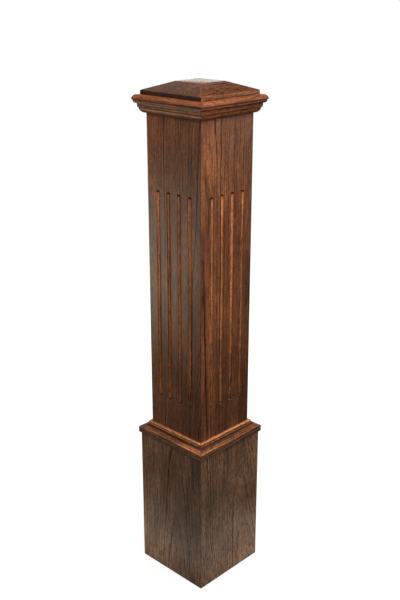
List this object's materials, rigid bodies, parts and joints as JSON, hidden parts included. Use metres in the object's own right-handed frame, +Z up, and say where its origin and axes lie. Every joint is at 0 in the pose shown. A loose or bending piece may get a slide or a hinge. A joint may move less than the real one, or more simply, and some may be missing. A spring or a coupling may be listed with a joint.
{
  "type": "newel post",
  "caption": "Square hollow box newel post with stopped flutes, wrapped base, mitred base and cap mouldings and a low hipped cap; it ends a stair balustrade and carries its handrails.",
  "frame": {"origin": "centre of the post's underside, on the floor", "axes": "+Z up along the post, -Y out of the front face, +X out of the right face"},
  "size_m": [0.2048, 0.2048, 1.1589],
  "materials": {
    "shaft_oak": "medium brown stain under satin clear coat",
    "base_oak": "medium brown stain under satin clear coat",
    "moulding_oak": "warm brown stain under satin clear coat",
    "cap_oak": "warm brown stain under satin clear coat"
  },
  "bodies": {
    "root": {"shaft_board_front": "shaft_oak", "shaft_board_right": "shaft_oak", "shaft_board_back": "shaft_oak", "shaft_board_left": "shaft_oak", "base_board_front": "base_oak", "base_board_right": "base_oak", "base_board_back": "base_oak", "base_board_left": "base_oak", "base_moulding_front": "moulding_oak", "base_moulding_right": "moulding_oak", "base_moulding_back": "moulding_oak", "base_moulding_left": "moulding_oak", "cap_moulding_front": "moulding_oak", "cap_moulding_right": "moulding_oak", "cap_moulding_back": "moulding_oak", "cap_moulding_left": "moulding_oak", "cap": "cap_oak"}
  },
  "joints": []
}
